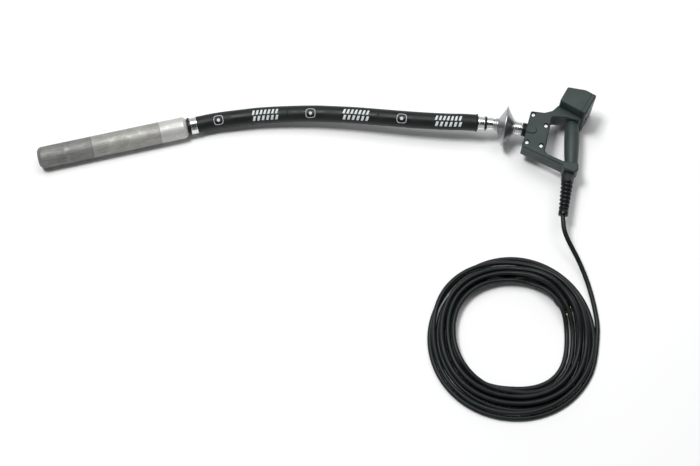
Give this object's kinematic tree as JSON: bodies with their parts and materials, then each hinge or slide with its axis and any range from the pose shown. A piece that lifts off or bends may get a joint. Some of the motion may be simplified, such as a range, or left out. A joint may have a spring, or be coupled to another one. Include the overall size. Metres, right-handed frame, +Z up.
{
  "type": "concrete vibrator",
  "caption": "Hand-held immersion vibrator: steel head on a short rubber hose, double-cone coupling, D-handle with switch box, ribbed strain relief and a loosely coiled mains cord.",
  "frame": {"origin": "on the floor, under the middle of the tool as it lies on its side, measured without the mains cord, its coil and its plug", "axes": "+Z up with the tool lying on its side; -X from the D-handle towards the steel head; +Y towards the side that the switch box is on"},
  "size_m": [1.5288, 0.8763, 0.125],
  "materials": {
    "steel_tip": "dark burnished steel, worn by concrete",
    "steel_tube": "matt grey steel with scuffs",
    "steel_cap": "paler steel with scuffs",
    "seal_rubber": "matt",
    "motor_iron": "matt",
    "copper": "varnished copper wire",
    "bearing_steel": "ground",
    "aluminium": "cast and turned",
    "black_rubber": "satin",
    "band_steel": "polished",
    "cone_steel": "polished sheet",
    "brass": "plain",
    "hose_rubber": "satin",
    "lead_sheath": "matt",
    "handle_plastic": "fine spark texture",
    "screw_steel": "bright zinc",
    "pale_plastic": "matt",
    "black_plastic": "satin",
    "rocker_plastic": "satin",
    "cord_rubber": "satin, dusty",
    "plug_rubber": "satin",
    "mark_paint": "flat print"
  },
  "bodies": {
    "handle": {"isolator_bush": "black_rubber", "housing_upper": "handle_plastic", "housing_lower": "handle_plastic", "housing_screws": "screw_steel", "screw_inserts": "brass", "terminal_block": "pale_plastic", "switch_box": "handle_plastic", "switch_cover": "handle_plastic", "box_gasket": "seal_rubber", "cover_screws": "screw_steel", "switch_bezel": "black_plastic", "switch_body": "black_plastic", "gland_nut": "black_plastic", "strain_relief": "black_rubber", "grip_lead": "lead_sheath", "hose_lead_tail": "lead_sheath", "cord_tube": "cord_rubber", "cord_coil": "cord_rubber", "plug_body": "plug_rubber", "plug_pins": "brass"},
    "rocker": {"switch_rocker": "rocker_plastic"},
    "coupling": {"coupler_tube": "bearing_steel", "hose_ferrule": "band_steel", "band_rear": "band_steel", "coupler_ridge": "black_rubber", "band_front": "band_steel", "brass_rivet": "brass", "front_cone": "cone_steel", "rear_cone": "cone_steel", "rim_ring": "cone_steel", "collar_nut": "band_steel", "hose_rear": "hose_rubber", "lead_rear": "lead_sheath"},
    "hose_rear_half": {"hose_mid_rear": "hose_rubber", "lead_mid_rear": "lead_sheath"},
    "hose_front_half": {"hose_mid_front": "hose_rubber", "lead_mid_front": "lead_sheath"},
    "head": {"head_tip_cap": "steel_tip", "head_tube": "steel_tube", "head_upper_cap": "steel_cap", "head_seals": "seal_rubber", "stator_core": "motor_iron", "stator_windings": "copper", "bearing_outer_rings": "bearing_steel", "end_shield": "aluminium", "lead_seal": "seal_rubber", "hose_nipple": "bearing_steel", "head_ring": "black_rubber", "head_clamp": "band_steel", "hose_front": "hose_rubber", "lead_front": "lead_sheath"},
    "rotor": {"rotor_shaft": "bearing_steel", "rotor_core": "motor_iron", "eccentric_weight": "motor_iron", "bearing_inner_rings": "bearing_steel", "bearing_balls": "bearing_steel"}
  },
  "joints": [
    {"name": "rocker_press", "type": "hinge", "parent": "handle", "child": "rocker", "pos_m": [0.68153, 0.22499, 0.0625], "axis": [0.284, 0.9588, 0], "range_deg": [0, 18]},
    {"name": "isolator_tilt", "type": "hinge", "parent": "handle", "child": "coupling", "pos_m": [0.53018, 0.14067, 0.0625], "axis": [0, 0, 1], "range_deg": [-2.5, 2.5], "stiffness_Nm_per_rad": 150},
    {"name": "hose_flex_rear", "type": "hinge", "parent": "coupling", "child": "hose_rear_half", "pos_m": [0.27258, 0.10257, 0.0582], "axis": [0, 0, 1], "range_deg": [-20, 20], "stiffness_Nm_per_rad": 15},
    {"name": "hose_flex_middle", "type": "hinge", "parent": "hose_rear_half", "child": "hose_front_half", "pos_m": [0.03468, 0.06637, 0.045], "axis": [0, 0, 1], "range_deg": [-20, 20], "stiffness_Nm_per_rad": 15},
    {"name": "hose_flex_front", "type": "hinge", "parent": "hose_front_half", "child": "head", "pos_m": [-0.20572, -0.00043, 0.0312], "axis": [0, 0, 1], "range_deg": [-20, 20], "stiffness_Nm_per_rad": 15},
    {"name": "rotor_spin", "type": "hinge", "parent": "head", "child": "rotor", "pos_m": [-0.52168, -0.1584, 0.0285], "axis": [0.8858, 0.4641, 0], "continuous": true}
  ]
}
